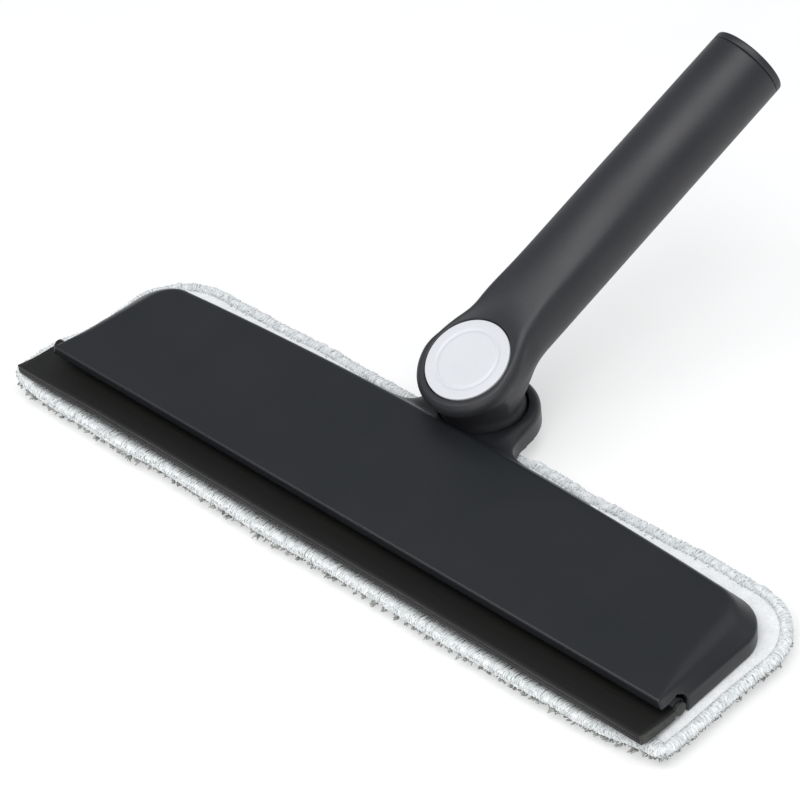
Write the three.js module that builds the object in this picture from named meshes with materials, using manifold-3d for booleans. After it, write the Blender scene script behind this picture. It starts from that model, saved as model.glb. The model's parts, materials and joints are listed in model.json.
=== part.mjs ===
// Window squeegee with a clip-on microfibre pad: a flat wedge-shaped head with a rubber
// blade under its front lip, and a round handle that swivels in a collar on the head.
// Millimetres. X runs along the head, Y from the blade to the handle, Z up.
import * as THREE from 'three';
import { mergeVertices } from 'three/addons/utils/BufferGeometryUtils.js';
import Module from 'manifold-3d';

const wasm = await Module();
wasm.setup();

// ---- driving dimensions ----
const GAP = 0.3;                       // clearance between touching pieces

// Head, measured from the top front edge of the lip (Y = 0) and from the pad's face (Z = 0).
const HEAD_HALF = 141.7;               // half length at the base
const HEAD_BACK = 60;                  // back wall, on the centre line
const HEAD_SAG = 5;                    // how far the back wall has curved forward at its corners
const HEAD_CORNER = 16;                // rear corner radius at the base
const WALL_TOP = 6.5;                  // height of the vertical end walls
const TOP_HALF_FRONT = 139.6;          // half length of the top face at the lip
const TOP_HALF_BACK = 132.2;           // half length of the top face at the back
const TOP_BACK = 54.2;                 // back edge of the top face
const TOP_CORNER = 5;
const LIP_HEIGHT = 12.6;
const TOP_BACK_HEIGHT = 14;
const SHELL = 2.4;                     // wall thickness of the mouldings
const LIP_UNDERSIDE = 9.6;
const CHANNEL_BACK = 11.2;             // how far the blade recess reaches under the lip

// Rubber blade: a round bead held in the channel, and a blade that reaches forward.
const BEAD_Y = 7.8;
const BEAD_Z = 4;
const BEAD_RADIUS = 2.2;
const BLADE_LEFT = -147.6;
const BLADE_RIGHT = 141.2;
const BLADE_FRONT = -11.2;
const BLADE_ROOT = 4.6;                // where the blade thickens in front of the channel
const EDGE_TOP = 8.2;                  // the blade's square front edge
const EDGE_BOTTOM = 4.5;

// Collar behind the head, and the parts that turn in it.
const SWIVEL_Y = 73.5;                 // vertical swivel axis
const COLLAR_TOP = 9;
const COLLAR_BORE = 15.6;
const FLOOR_BOTTOM = 4;
const FLOOR_TOP = 5;
const NECK_RADIUS = 15.1;
const NECK_BOTTOM = 6.2;
const SWIVEL_REST = -7.2;              // degrees that the handle stands off the head's middle line
const BRAKE_RADIUS = 13;
const BRAKE_BOTTOM = 1.75;
const ROD_RADIUS = 2.2;
const ROD_TOP = 20.8;

// Hub and handle. The hub leans forward; its own frame has its origin at the centre of the
// button's face, Z along the button's travel and Y along the handle.
const HUB_Y = SWIVEL_Y - 5.1;
const HUB_Z = 31.9;
const HUB_LEAN = 24.9;                 // degrees
const HUB_RADIUS = 19.4;
const BUTTON_RADIUS = 15.6;
const BUTTON_WELL = 15.95;
const WELL_FLOOR = -6.4;
const HANDLE_RADIUS = 14.5;
const HANDLE_BORE = 12.3;
const HANDLE_DROP = -6.3;              // handle axis below the button's face
const HANDLE_LENGTH = 144.4;

// Pad under the head.
const PAD_HALF = 150;
const PAD_FRONT = -13.4;
const PAD_BACK = 70.5;
const PAD_REAR_CORNER = 26;
const PAD_FRONT_CORNER = 5;
const HEM_WIDTH = 4.6;
const HEM_BOTTOM = -3.8;
const PILE_INSET = 0.8;
const SHEET_THICKNESS = 1;
const PAD_THICKNESS = 8;

const SIDES = 48;                      // facets round a large circle
const SMALL_SIDES = 20;

// ---- geometry helpers ----
function toSolid(geometry) {
  const bare = geometry.clone();
  bare.deleteAttribute('normal');
  bare.deleteAttribute('uv');
  const merged = mergeVertices(bare, 1e-4);
  return new wasm.Manifold(new wasm.Mesh({
    numProp: 3,
    vertProperties: new Float32Array(merged.attributes.position.array),
    triVerts: new Uint32Array(merged.index.array),
  }));
}

function toGeometry(solid) {
  const mesh = solid.getMesh();
  const geometry = new THREE.BufferGeometry();
  geometry.setAttribute('position', new THREE.BufferAttribute(mesh.vertProperties, 3));
  geometry.setIndex(new THREE.BufferAttribute(mesh.triVerts, 1));
  return geometry;
}

function box(x0, x1, y0, y1, z0, z1) {
  const geometry = new THREE.BoxGeometry(x1 - x0, y1 - y0, z1 - z0);
  return geometry.translate((x0 + x1) / 2, (y0 + y1) / 2, (z0 + z1) / 2);
}

function upright(radius, z0, z1, x = 0, y = 0, sides = SIDES) {
  const geometry = new THREE.CylinderGeometry(radius, radius, z1 - z0, sides);
  return geometry.rotateX(Math.PI / 2).translate(x, y, (z0 + z1) / 2);
}

// A solid of revolution about Z from [radius, z] pairs; a pair list off the axis is closed.
function turned(profile, sides = SIDES) {
  const points = profile.map(([radius, z]) => new THREE.Vector2(radius, z));
  if (profile[0][0] > 0) points.push(points[0].clone());
  return new THREE.LatheGeometry(points, sides).rotateX(Math.PI / 2);
}

function extruded(points, z0, z1, holes = []) {
  const shape = new THREE.Shape(points);
  for (const hole of holes) shape.holes.push(new THREE.Path(hole));
  const geometry = new THREE.ExtrudeGeometry(shape, { depth: z1 - z0, bevelEnabled: false });
  return geometry.translate(0, 0, z0);
}

// Extrudes a section drawn in the Y-Z plane along X.
function alongX(points, x0, x1) {
  const geometry = extruded(points, x0, x1);
  return geometry.applyMatrix4(new THREE.Matrix4().set(0, 0, 1, 0, 1, 0, 0, 0, 0, 1, 0, 0, 0, 0, 0, 1));
}

// Joins rings of equal point count, bottom to top, into one closed solid.
function loft(rings) {
  const shape = new THREE.Shape(rings[0].map((p) => new THREE.Vector2(p.x, p.y)));
  const steps = rings.length - 1;
  const geometry = new THREE.ExtrudeGeometry(shape, { depth: steps, steps, bevelEnabled: false });
  const position = geometry.attributes.position;
  for (let i = 0; i < position.count; i++) {
    const x = position.getX(i);
    const y = position.getY(i);
    const place = rings[0].findIndex((p) => Math.hypot(p.x - x, p.y - y) < 1e-3);
    const point = rings[Math.round(position.getZ(i))][place];
    position.setXYZ(i, point.x, point.y, point.z);
  }
  return geometry;
}

function arc(cx, cy, radius, from, to, count) {
  const points = [];
  for (let i = 0; i <= count; i++) {
    const angle = THREE.MathUtils.degToRad(from + ((to - from) * i) / count);
    points.push(new THREE.Vector2(cx + radius * Math.cos(angle), cy + radius * Math.sin(angle)));
  }
  return points;
}

const assembly = new THREE.Group();
const head = new THREE.Group();
const handle = new THREE.Group();
const hub = new THREE.Group();

function add(group, name, geometry, { color, roughness = 0.6, metalness = 0 }) {
  const material = new THREE.MeshStandardMaterial({ color, roughness, metalness });
  const mesh = new THREE.Mesh(geometry, material);
  mesh.name = name;
  group.add(mesh);
}

const DARK_PLASTIC = { color: 0x2f3338, roughness: 0.55 };
const HANDLE_PLASTIC = { color: 0x3b3d44, roughness: 0.5 };
const LIGHT_PLASTIC = { color: 0xcfd1d6, roughness: 0.45 };
const RUBBER = { color: 0x1f1f1f, roughness: 0.8 };
const STEEL = { color: 0xb8babd, roughness: 0.35, metalness: 1 };
const ALUMINIUM = { color: 0x9a9ca0, roughness: 0.4, metalness: 1 };
const HOOK_TAPE = { color: 0x18191b, roughness: 0.9 };
const BRAKE_LINING = { color: 0x6b4a34, roughness: 0.9 };
const NATURAL_PLASTIC = { color: 0xe4e2da, roughness: 0.6 };

// ---- head ----
// Outline of the head at one level: straight front and ends, round rear corners, bowed back.
function headOutline({ front, halfFront, halfBack, back, sag, corner, height }) {
  const reach = halfBack - corner;
  const right = arc(reach, back - sag - corner, corner, 0, 90, 8);
  const bowed = [];
  const bowSteps = 12;
  for (let i = 1; i < bowSteps; i++) {
    const x = reach - (2 * reach * i) / bowSteps;
    bowed.push(new THREE.Vector2(x, back - sag * (x / reach) ** 2));
  }
  const left = right.map((p) => new THREE.Vector2(-p.x, p.y)).reverse();
  const outline = [new THREE.Vector2(-halfFront, front), new THREE.Vector2(halfFront, front)];
  return [...outline, ...right, ...bowed, ...left].map((p) => new THREE.Vector3(p.x, p.y, height(p.y)));
}

function headSolid(inset, floor, front) {
  const side = inset * 1.2;
  const base = {
    front, halfFront: HEAD_HALF - inset, halfBack: HEAD_HALF - inset,
    back: HEAD_BACK - inset, sag: HEAD_SAG, corner: HEAD_CORNER - inset,
  };
  const top = {
    front, halfFront: TOP_HALF_FRONT - side, halfBack: TOP_HALF_BACK - side,
    back: TOP_BACK - side, sag: HEAD_SAG, corner: TOP_CORNER - inset / 2,
  };
  const slope = (TOP_BACK_HEIGHT - LIP_HEIGHT) / TOP_BACK;
  return toSolid(loft([
    headOutline({ ...base, height: () => floor }),
    headOutline({ ...base, height: () => WALL_TOP - inset / 2 }),
    headOutline({ ...top, height: (y) => LIP_HEIGHT + slope * y - inset }),
  ]));
}

// The collar's outline at one level: a half round back with sides that flare into the head.
function collarOutline(radius, root, height) {
  const flare = 29;
  const back = arc(0, SWIVEL_Y, radius, flare, 180 - flare, 16);
  const angle = THREE.MathUtils.degToRad(flare);
  const drop = back[0].y - root;
  const foot = back[0].x + drop * Math.tan(angle);
  const points = [new THREE.Vector2(-foot, root), new THREE.Vector2(foot, root), ...back];
  return points.map((p) => new THREE.Vector3(p.x, p.y, height));
}

const SCREW_PLACES = [-118, 0, 118].flatMap((x) => [[x, 19], [x, 46]]);
const BOSS_RADIUS = 3.2;
const SCREW_RADIUS = 1.05;
const SCREW_HOLE = 1.35;
const SCREW_TIP = 8.9;
const PLATE_BOTTOM = 1.2;
const PLATE_TOP = 3;

function headShell() {
  const cavityFront = CHANNEL_BACK + SHELL;
  let shell = headSolid(0, GAP, 0);
  const collar = loft([
    collarOutline(22.5, HEAD_BACK - 6, GAP),
    collarOutline(18.8, TOP_BACK - 2, COLLAR_TOP),
  ]);
  shell = shell.subtract(headSolid(SHELL, -1, cavityFront));
  for (const [x, y] of SCREW_PLACES) {
    shell = shell.add(toSolid(upright(BOSS_RADIUS, PLATE_TOP + GAP, LIP_HEIGHT, x, y, SMALL_SIDES)));
    shell = shell.subtract(toSolid(upright(SCREW_HOLE, 0, SCREW_TIP + GAP, x, y, SMALL_SIDES)));
  }
  shell = shell.add(toSolid(collar));
  shell = shell.subtract(toSolid(box(-200, 200, -5, CHANNEL_BACK, -5, LIP_UNDERSIDE)));
  shell = shell.subtract(toSolid(upright(COLLAR_BORE, FLOOR_TOP, 30, 0, SWIVEL_Y)));
  shell = shell.subtract(toSolid(upright(BRAKE_RADIUS + 0.8, -1, FLOOR_BOTTOM, 0, SWIVEL_Y)));
  shell = shell.subtract(toSolid(upright(8, -1, 30, 0, SWIVEL_Y)));
  return toGeometry(shell);
}

// Flat plate that closes the shell from below.
function basePlate() {
  const inset = SHELL + GAP;
  const ring = headOutline({
    front: CHANNEL_BACK + SHELL + GAP, halfFront: HEAD_HALF - inset, halfBack: HEAD_HALF - inset,
    back: HEAD_BACK - 6 - inset, sag: HEAD_SAG, corner: HEAD_CORNER - inset, height: () => 0,
  });
  let plate = toSolid(extruded(ring, PLATE_BOTTOM, PLATE_TOP));
  for (const [x, y] of SCREW_PLACES) {
    plate = plate.subtract(toSolid(upright(SCREW_HOLE, 0, 5, x, y, SMALL_SIDES)));
  }
  return toGeometry(plate);
}

function baseScrew(x, y) {
  const headRadius = 2.6;
  const headBottom = GAP + 0.05;
  const headTop = 0.9;
  const profile = [
    [0, headBottom], [headRadius, headBottom], [headRadius, headTop], [SCREW_RADIUS, headTop],
    [SCREW_RADIUS, SCREW_TIP - GAP], [0, SCREW_TIP],
  ];
  return turned(profile, SMALL_SIDES).translate(x, y, 0);
}

// Rail under the lip: a keyhole slot that grips the blade's bead, and a flange above it.
function bladeChannel() {
  const slot = 1.2;
  const wall = 0.6;
  const front = 5.2;
  const back = CHANNEL_BACK - GAP;
  const bottom = BEAD_Z - BEAD_RADIUS - GAP - wall;
  const shoulder = BEAD_Z + BEAD_RADIUS + GAP + wall;
  const flangeTop = LIP_UNDERSIDE - GAP;
  const flangeFront = 8.6;
  const mouth = Math.asin(slot / (BEAD_RADIUS + GAP)) * THREE.MathUtils.RAD2DEG;
  const keyhole = arc(BEAD_Y, BEAD_Z, BEAD_RADIUS + GAP, 180 - mouth, -180 + mouth, 18);
  const section = [
    new THREE.Vector2(front, BEAD_Z + slot), ...keyhole, new THREE.Vector2(front, BEAD_Z - slot),
    new THREE.Vector2(front, bottom), new THREE.Vector2(back, bottom), new THREE.Vector2(back, flangeTop),
    new THREE.Vector2(flangeFront, flangeTop), new THREE.Vector2(flangeFront, shoulder),
    new THREE.Vector2(front + 1, shoulder), new THREE.Vector2(front, shoulder - 0.8),
  ];
  return alongX(section, -HEAD_HALF + 0.4, HEAD_HALF - 0.4);
}

// Rubber section: round bead, thin web, and a blade with a hollow top and a square front edge.
function rubberBlade() {
  const web = 0.85;
  const hollowDepth = 0.5;
  const rootTop = BEAD_Z + web;
  const rootBottom = BEAD_Z - 2.1;
  const turn = Math.asin(web / BEAD_RADIUS) * THREE.MathUtils.RAD2DEG;
  const bead = arc(BEAD_Y, BEAD_Z, BEAD_RADIUS, -180 + turn, 180 - turn, 18);
  const hollow = [];
  const hollowSteps = 6;
  for (let i = 0; i <= hollowSteps; i++) {
    const t = i / hollowSteps;
    const y = BLADE_ROOT + (BLADE_FRONT - BLADE_ROOT) * t;
    hollow.push(new THREE.Vector2(y, rootTop + (EDGE_TOP - rootTop) * t - 4 * hollowDepth * t * (1 - t)));
  }
  const section = [
    ...bead, ...hollow, new THREE.Vector2(BLADE_FRONT, EDGE_BOTTOM),
    new THREE.Vector2(-8, 3.4), new THREE.Vector2(BLADE_ROOT, rootBottom),
    new THREE.Vector2(BLADE_ROOT, BEAD_Z - web),
  ];
  return alongX(section, BLADE_LEFT, BLADE_RIGHT);
}

function hookStrip(y0, y1) {
  return box(-128, 128, y0, y1, GAP, PLATE_BOTTOM - GAP);
}

add(head, 'head_shell', headShell(), DARK_PLASTIC);
add(head, 'base_plate', basePlate(), DARK_PLASTIC);
add(head, 'blade_channel', bladeChannel(), ALUMINIUM);
add(head, 'rubber_blade', rubberBlade(), RUBBER);
add(head, 'hook_strip_front', hookStrip(24, 31), HOOK_TAPE);
add(head, 'hook_strip_rear', hookStrip(34, 41), HOOK_TAPE);
SCREW_PLACES.forEach(([x, y], i) => add(head, `base_screw_${i + 1}`, baseScrew(x, y), STEEL));

function ring(inner, outer, z0, z1) {
  return turned([[inner, z0], [outer, z0], [outer, z1], [inner, z1]]).translate(0, SWIVEL_Y, 0);
}
const frictionRing = ring(8.6, BRAKE_RADIUS - 0.4, FLOOR_BOTTOM - 0.9, FLOOR_BOTTOM - GAP);
add(head, 'friction_ring', frictionRing, BRAKE_LINING);
add(head, 'thrust_washer', ring(9, NECK_RADIUS - GAP, FLOOR_TOP + GAP, NECK_BOTTOM - GAP), NATURAL_PLASTIC);

// ---- handle, hub and release mechanism ----
// Geometry in the handle group is centred on the swivel axis.
const hubPlace = new THREE.Matrix4()
  .makeTranslation(0, HUB_Y - SWIVEL_Y, HUB_Z)
  .multiply(new THREE.Matrix4().makeRotationX(THREE.MathUtils.degToRad(HUB_LEAN)));

function inHub(geometry) {
  return toSolid(geometry.applyMatrix4(hubPlace));
}

function alongHandle(radius, from, to) {
  const geometry = new THREE.CylinderGeometry(radius, radius, to - from, SIDES);
  return geometry.translate(0, (from + to) / 2, HANDLE_DROP);
}

function handleBody() {
  const barrel = turned([
    [0, -15], [13, -15], [15.5, -12.5], [17.6, -8.6], [18.4, -6.3], [HUB_RADIUS - 0.15, -5.5],
    [HUB_RADIUS, -2.6], [18.6, -1], [17.2, -0.1], [0, -0.1],
  ]);
  const endGap = 2.4 + GAP;
  const shoulder = turned([[0, -0.1], [16.4, -0.1], [30, 9], [30, 30], [0, 30]]);
  let body = inHub(alongHandle(HANDLE_RADIUS, 2, HANDLE_LENGTH - endGap));
  body = body.subtract(inHub(shoulder));
  body = body.add(inHub(barrel));
  body = body.add(toSolid(upright(NECK_RADIUS, NECK_BOTTOM, 21)));
  body = body.subtract(inHub(alongHandle(HANDLE_BORE, 26, HANDLE_LENGTH + 5)));
  body = body.subtract(inHub(upright(BUTTON_WELL, WELL_FLOOR, 10)));
  const cavity = toSolid(upright(12.4, 9.6, 40)).subtract(inHub(upright(60, WELL_FLOOR - 1.6, 60)));
  body = body.subtract(cavity);
  body = body.subtract(toSolid(upright(12.4, 0, 8)));
  body = body.subtract(toSolid(upright(ROD_RADIUS + GAP, 0, 12, 0, 0, SMALL_SIDES)));
  body = body.subtract(inHub(upright(8.4, -12, 0)));
  return toGeometry(body);
}

// Rod with a brake disc at its foot; the spring pulls the disc up against the friction ring.
function brakePlunger() {
  const groove = 18.4;
  return turned([
    [0, BRAKE_BOTTOM], [BRAKE_RADIUS, BRAKE_BOTTOM], [BRAKE_RADIUS, BRAKE_BOTTOM + 1.05],
    [ROD_RADIUS, BRAKE_BOTTOM + 1.05], [ROD_RADIUS, groove], [1.6, groove], [1.6, groove + 1],
    [ROD_RADIUS, groove + 1], [ROD_RADIUS, ROD_TOP], [0, ROD_TOP],
  ], 32);
}

function releaseSpring() {
  class Helix extends THREE.Curve {
    getPoint(t) {
      const turns = 5;
      const angle = t * turns * Math.PI * 2;
      return new THREE.Vector3(3.6 * Math.cos(angle), 3.6 * Math.sin(angle), 10.4 + 7.4 * t);
    }
  }
  const wire = new THREE.Shape(arc(0, 0, 0.45, 0, 315, 7));
  return new THREE.ExtrudeGeometry(wire, { steps: 80, extrudePath: new Helix() });
}

function handleEndCap() {
  const rim = HANDLE_RADIUS - 0.1;
  const start = HANDLE_LENGTH - 2.4;
  const profile = [
    [0, start - 9], [12, start - 9], [12, start], [rim, start], [rim, HANDLE_LENGTH - 1.4],
    [rim - 0.5, HANDLE_LENGTH - 0.4], [rim - 1.5, HANDLE_LENGTH], [0, HANDLE_LENGTH],
  ];
  const geometry = turned(profile);
  return geometry.rotateX(-Math.PI / 2).translate(0, 0, HANDLE_DROP);
}

function buttonCap() {
  const groove = 11.4;
  return turned([
    [0, -3.4], [BUTTON_RADIUS, -3.4], [BUTTON_RADIUS, -0.5], [BUTTON_RADIUS - 0.6, 0],
    [groove + 0.7, 0], [groove, -0.4], [groove - 0.7, 0], [0, 0],
  ]);
}

// Tappet under the button: it passes through the well's floor and ends in a dome on the rod.
function buttonStem() {
  const dome = arc(0, -7.9, 3.6, -90, 0, 5).map((p) => [p.x, p.y]);
  dome[0][0] = 0;
  return turned([
    ...dome, [7.9, -7.9], [7.9, -4.7], [12, -4.7], [12, -3.7], [0, -3.7],
  ], 32);
}

add(handle, 'handle_body', handleBody(), HANDLE_PLASTIC);
add(handle, 'brake_plunger', brakePlunger(), STEEL);
add(handle, 'spring_clip', turned([[1.9, 18.6], [4.6, 18.6], [4.6, 19.2], [1.9, 19.2]], 32), STEEL);
add(handle, 'release_spring', releaseSpring(), STEEL);
add(hub, 'handle_end_cap', handleEndCap(), HANDLE_PLASTIC);
add(hub, 'button_cap', buttonCap(), LIGHT_PLASTIC);
add(hub, 'button_stem', buttonStem(), DARK_PLASTIC);
hub.position.set(0, HUB_Y - SWIVEL_Y, HUB_Z);
hub.rotation.x = THREE.MathUtils.degToRad(HUB_LEAN);
handle.add(hub);
handle.position.set(0, SWIVEL_Y, 0);
handle.rotation.z = THREE.MathUtils.degToRad(SWIVEL_REST);

// ---- pad ----
function padOutline(inset) {
  const half = PAD_HALF - inset;
  const back = PAD_BACK - inset;
  const front = PAD_FRONT + inset;
  const rear = PAD_REAR_CORNER - inset;
  const fore = Math.max(PAD_FRONT_CORNER - inset, 1);
  return [
    ...arc(half - fore, front + fore, fore, -90, 0, 5),
    ...arc(half - rear, back - rear, rear, 0, 90, 10),
    ...arc(-half + rear, back - rear, rear, 90, 180, 10),
    ...arc(-half + fore, front + fore, fore, 180, 270, 5),
  ];
}

const LOOP_CLOTH = { color: 0xf4f5f5, roughness: 1 };
const WADDING = { color: 0xf0f0ee, roughness: 1 };
const PILE = { color: 0x70737a, roughness: 1 };
const HEM_YARN = { color: 0xc9d0d6, roughness: 1 };

const hemRing = extruded(padOutline(0), HEM_BOTTOM, 0, [padOutline(HEM_WIDTH)]);
const inner = padOutline(HEM_WIDTH + GAP);
add(head, 'pad_pile', extruded(padOutline(PILE_INSET), -PAD_THICKNESS, HEM_BOTTOM - GAP), PILE);
add(head, 'pad_wadding', extruded(inner, HEM_BOTTOM, -SHEET_THICKNESS - GAP), WADDING);
add(head, 'pad_loop_sheet', extruded(inner, -SHEET_THICKNESS, 0), LOOP_CLOTH);
add(head, 'pad_hem', hemRing, HEM_YARN);

// The origin is the middle of the pad's underside.
assembly.add(head, handle);
assembly.position.set(0, -(PAD_FRONT + PAD_BACK) / 2, PAD_THICKNESS);

export default assembly;
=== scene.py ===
"""The looks of a window squeegee: a flat moulded head with a rubber blade and a fabric pad,
and a round handle that swivels on the head. Lengths are in millimetres until `to_frame`.

Head coordinates: X along the head, Y back from the lip's front edge, Z up from the pad's top.
Swivel coordinates have their origin on the swivel axis, hub coordinates at the middle of the
button's face with Z out of it and Y along the handle.
"""

import json
import math

import bpy
import numpy as np
from mathutils import Matrix, Vector


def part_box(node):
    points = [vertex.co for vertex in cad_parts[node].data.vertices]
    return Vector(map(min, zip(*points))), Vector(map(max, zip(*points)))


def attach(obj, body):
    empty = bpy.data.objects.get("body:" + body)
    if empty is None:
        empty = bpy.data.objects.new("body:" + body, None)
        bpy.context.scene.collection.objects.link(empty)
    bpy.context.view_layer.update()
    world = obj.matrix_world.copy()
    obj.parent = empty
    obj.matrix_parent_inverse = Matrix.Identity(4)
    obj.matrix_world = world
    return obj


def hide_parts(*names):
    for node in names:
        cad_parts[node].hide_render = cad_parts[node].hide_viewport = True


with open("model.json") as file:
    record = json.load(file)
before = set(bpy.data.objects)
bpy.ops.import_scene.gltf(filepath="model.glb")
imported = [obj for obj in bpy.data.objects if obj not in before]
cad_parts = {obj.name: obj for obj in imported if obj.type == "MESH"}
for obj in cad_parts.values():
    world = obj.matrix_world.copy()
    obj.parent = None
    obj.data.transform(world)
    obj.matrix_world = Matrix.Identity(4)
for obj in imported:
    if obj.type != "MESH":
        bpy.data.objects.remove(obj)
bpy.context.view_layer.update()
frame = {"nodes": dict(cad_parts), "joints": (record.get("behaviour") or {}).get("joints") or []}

MM = 0.001
rng = np.random.default_rng(7)


# ---------------------------------------------------------------- frame
def joint(name):
    return next(j for j in frame["joints"] if j["name"] == name)


LIP_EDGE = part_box("head_shell")[0].y / MM
PAD_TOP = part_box("pad_loop_sheet")[1].z / MM
FLOOR = -PAD_TOP
SWIVEL = np.array(joint("handle_swivel")["pos_m"]) / MM
SWIVEL_Y = SWIVEL[1] - LIP_EDGE
PRESS = Vector(joint("button_press")["axis"])
HUB_LEAN = math.atan2(math.hypot(PRESS.x, PRESS.y), -PRESS.z)
REST_TURN = -math.atan2(PRESS.x, PRESS.y)
HANDLE_LENGTH = 144.4
HUB_ORIGIN = np.array([0.0, -5.1, 31.9])


def rotation(axis, angle):
    return np.array(Matrix.Rotation(angle, 3, axis))


def to_frame(points):
    """Head coordinates in millimetres to the frame in metres."""
    return (np.asarray(points, float) + [0, LIP_EDGE, PAD_TOP]) * MM


def swivel_to_head(points):
    return points @ rotation("Z", REST_TURN).T + [0, SWIVEL_Y, 0]


def hub_to_swivel(points):
    return points @ rotation("X", HUB_LEAN).T + HUB_ORIGIN


def hub_to_frame(points):
    return to_frame(swivel_to_head(hub_to_swivel(np.asarray(points, float))))


# ---------------------------------------------------------------- mesh making
def make_piece(name, points, faces, material, body, replaced=(), smooth=True):
    mesh = bpy.data.meshes.new(name)
    points = np.asarray(points, float)
    mesh.from_pydata(points.tolist(), [], [list(map(int, f)) for f in faces])
    mesh.update()
    if smooth:
        mesh.polygons.foreach_set("use_smooth", np.ones(len(mesh.polygons), bool))
    mesh.materials.append(material)
    piece = bpy.data.objects.new(name, mesh)
    bpy.context.scene.collection.objects.link(piece)
    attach(piece, body)
    if replaced:
        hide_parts(*replaced)
    return piece


def steps(*stretches):
    """Grid lines from (start, end, spacing) stretches that follow on from each other."""
    lines = [stretches[0][0]]
    for start, end, spacing in stretches:
        count = max(1, round((end - start) / spacing))
        lines += list(np.linspace(start, end, count + 1)[1:])
    return np.array(lines)


def gradient(distance, points, delta=0.02):
    slopes = []
    for axis in range(3):
        shift = np.zeros(3)
        shift[axis] = delta
        slopes.append(distance(points + shift) - distance(points - shift))
    return np.stack(slopes, 1) / (2 * delta)


def settle(distance, points, rounds=4):
    """Moves points onto the surface where distance is zero."""
    for _ in range(rounds):
        slope = gradient(distance, points)
        length = np.maximum((slope ** 2).sum(1), 0.05)
        move = (distance(points) / length)[:, None] * slope
        points = points - np.clip(move, -0.5, 0.5)
    return points


def contour(distance, xs, ys, zs, relax=2):
    """Points and quads of the surface where distance is zero: one point in each grid cell that
    the surface crosses, evened out and settled onto the surface."""
    grid = np.stack(np.meshgrid(xs, ys, zs, indexing="ij"), -1)
    field = distance(grid.reshape(-1, 3)).reshape(grid.shape[:3])
    inside = field < 0
    shape = tuple(n - 1 for n in field.shape)

    def corner(values, i, j, k):
        return values[i:shape[0] + i, j:shape[1] + j, k:shape[2] + k]

    corners = [(i, j, k) for i in (0, 1) for j in (0, 1) for k in (0, 1)]
    full = sum(corner(inside, *c).astype(np.int8) for c in corners)
    cells = (full > 0) & (full < 8)
    number = np.full(shape, -1)
    number[cells] = np.arange(cells.sum())
    total = np.zeros((cells.sum(), 3))
    count = np.zeros(cells.sum())
    for a in corners:
        for axis in range(3):
            if a[axis]:
                continue
            b = tuple(1 if n == axis else a[n] for n in range(3))
            fa, fb = corner(field, *a)[cells], corner(field, *b)[cells]
            crossed = (fa < 0) != (fb < 0)
            share = np.where(crossed, fa / np.where(fa == fb, 1, fa - fb), 0)[:, None]
            spot = corner(grid, *a)[cells] * (1 - share) + corner(grid, *b)[cells] * share
            total += spot * crossed[:, None]
            count += crossed
    points = total / count[:, None]

    quads = []
    for axis in range(3):
        u, v = (axis + 1) % 3, (axis + 2) % 3
        near = [slice(None)] * 3
        far = [slice(None)] * 3
        near[axis], far[axis] = slice(0, -1), slice(1, None)
        for other in (u, v):
            near[other] = far[other] = slice(1, -1)
        a, b = inside[tuple(near)], inside[tuple(far)]
        at = np.argwhere(a != b)
        forward = a[tuple(at.T)]
        base = at.copy()
        base[:, u] += 1
        base[:, v] += 1
        ring = []
        for du, dv in ((-1, -1), (0, -1), (0, 0), (-1, 0)):
            cell = base.copy()
            cell[:, u] += du
            cell[:, v] += dv
            ring.append(number[tuple(cell.T)])
        ring = np.stack(ring, 1)
        ring[~forward] = ring[~forward][:, ::-1]
        quads.append(ring)
    quads = np.concatenate(quads)

    edges = np.concatenate([quads[:, [n, (n + 1) % 4]] for n in range(4)])
    degree = np.bincount(edges.ravel(), minlength=len(points))[:, None]
    for _ in range(relax):
        gathered = np.zeros_like(points)
        np.add.at(gathered, edges[:, 0], points[edges[:, 1]])
        np.add.at(gathered, edges[:, 1], points[edges[:, 0]])
        points = points * 0.5 + gathered / degree * 0.5
        points = settle(distance, points, 2)
    return settle(distance, points), quads


def sweep(rings):
    """Quads that join closed rings of equal point count; the rings' own ends stay open."""
    rings = np.asarray(rings)
    count, around = rings.shape[:2]
    faces = []
    for i in range(count - 1):
        for j in range(around):
            k = (j + 1) % around
            faces.append((i * around + j, i * around + k, (i + 1) * around + k, (i + 1) * around + j))
    return rings.reshape(-1, 3), faces


def lathe(profile, sides=128):
    """A solid of revolution about Z from (radius, z) pairs that start and end on the axis."""
    turn = np.linspace(0, 2 * math.pi, sides, endpoint=False)
    body = profile[1:-1]
    points = [[0, 0, profile[0][1]]]
    for radius, z in body:
        points += [[radius * math.cos(t), radius * math.sin(t), z] for t in turn]
    points.append([0, 0, profile[-1][1]])
    last = len(points) - 1
    faces = []
    for j in range(sides):
        k = (j + 1) % sides
        faces.append((0, 1 + k, 1 + j))
        for i in range(len(body) - 1):
            a, b = 1 + i * sides, 1 + (i + 1) * sides
            faces.append((a + j, a + k, b + k, b + j))
        top = 1 + (len(body) - 1) * sides
        faces.append((top + j, top + k, last))
    return np.array(points), faces


# ---------------------------------------------------------------- distances
def smooth_min(a, b, k):
    h = np.maximum(k - np.abs(a - b), 0) / k
    return np.minimum(a, b) - h * h * k / 4


def smooth_max(a, b, k):
    return -smooth_min(-a, -b, k)


def round_max(a, b, radius):
    """Intersection of a and b whose edge is an arc of that radius."""
    outside = np.hypot(np.maximum(a + radius, 0), np.maximum(b + radius, 0))
    return np.minimum(np.maximum(a, b), -radius) + outside


def smoothstep(t):
    t = np.clip(t, 0, 1)
    return t * t * (3 - 2 * t)


# ---------------------------------------------------------------- materials
def new_material(name):
    material = bpy.data.materials.new(name)
    material.use_nodes = True
    tree = material.node_tree
    shader = tree.nodes["Principled BSDF"]
    coords = tree.nodes.new("ShaderNodeTexCoord").outputs["Object"]
    return material, tree, shader, coords


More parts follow.
